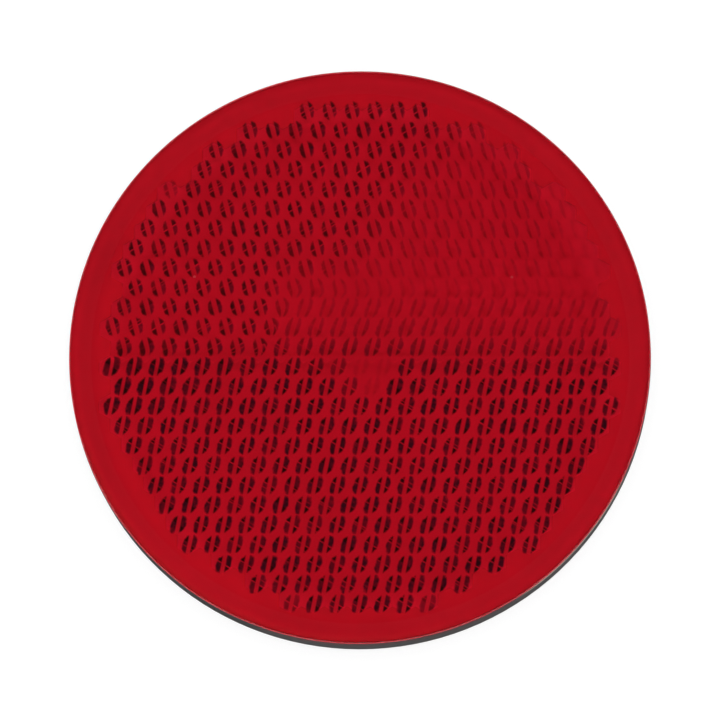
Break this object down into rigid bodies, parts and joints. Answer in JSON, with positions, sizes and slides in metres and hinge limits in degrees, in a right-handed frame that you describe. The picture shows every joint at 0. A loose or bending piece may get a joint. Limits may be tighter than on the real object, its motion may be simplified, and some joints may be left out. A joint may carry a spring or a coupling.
{
  "type": "adhesive reflector",
  "caption": "Round red stick-on rear reflector: prismatic lens welded to a dark dish with foam tape on its back.",
  "frame": {"origin": "middle of the back face of the release liner, on the axis of the disc", "axes": "+Z along the axis, out of the lens, the way the reflector faces; +Y towards the half of the prism field that stands uppermost in the picture"},
  "size_m": [0.06, 0.06, 0.0055],
  "materials": {
    "lens": "clear moulded acrylic, red, polished",
    "housing": "moulded, fine satin, dark grey",
    "foam_tape": "closed-cell foam, off-white",
    "liner": "silicone-coated paper, smooth"
  },
  "bodies": {
    "root": {"lens": "lens", "housing": "housing", "adhesive_pad": "foam_tape", "release_liner": "liner"}
  },
  "joints": []
}
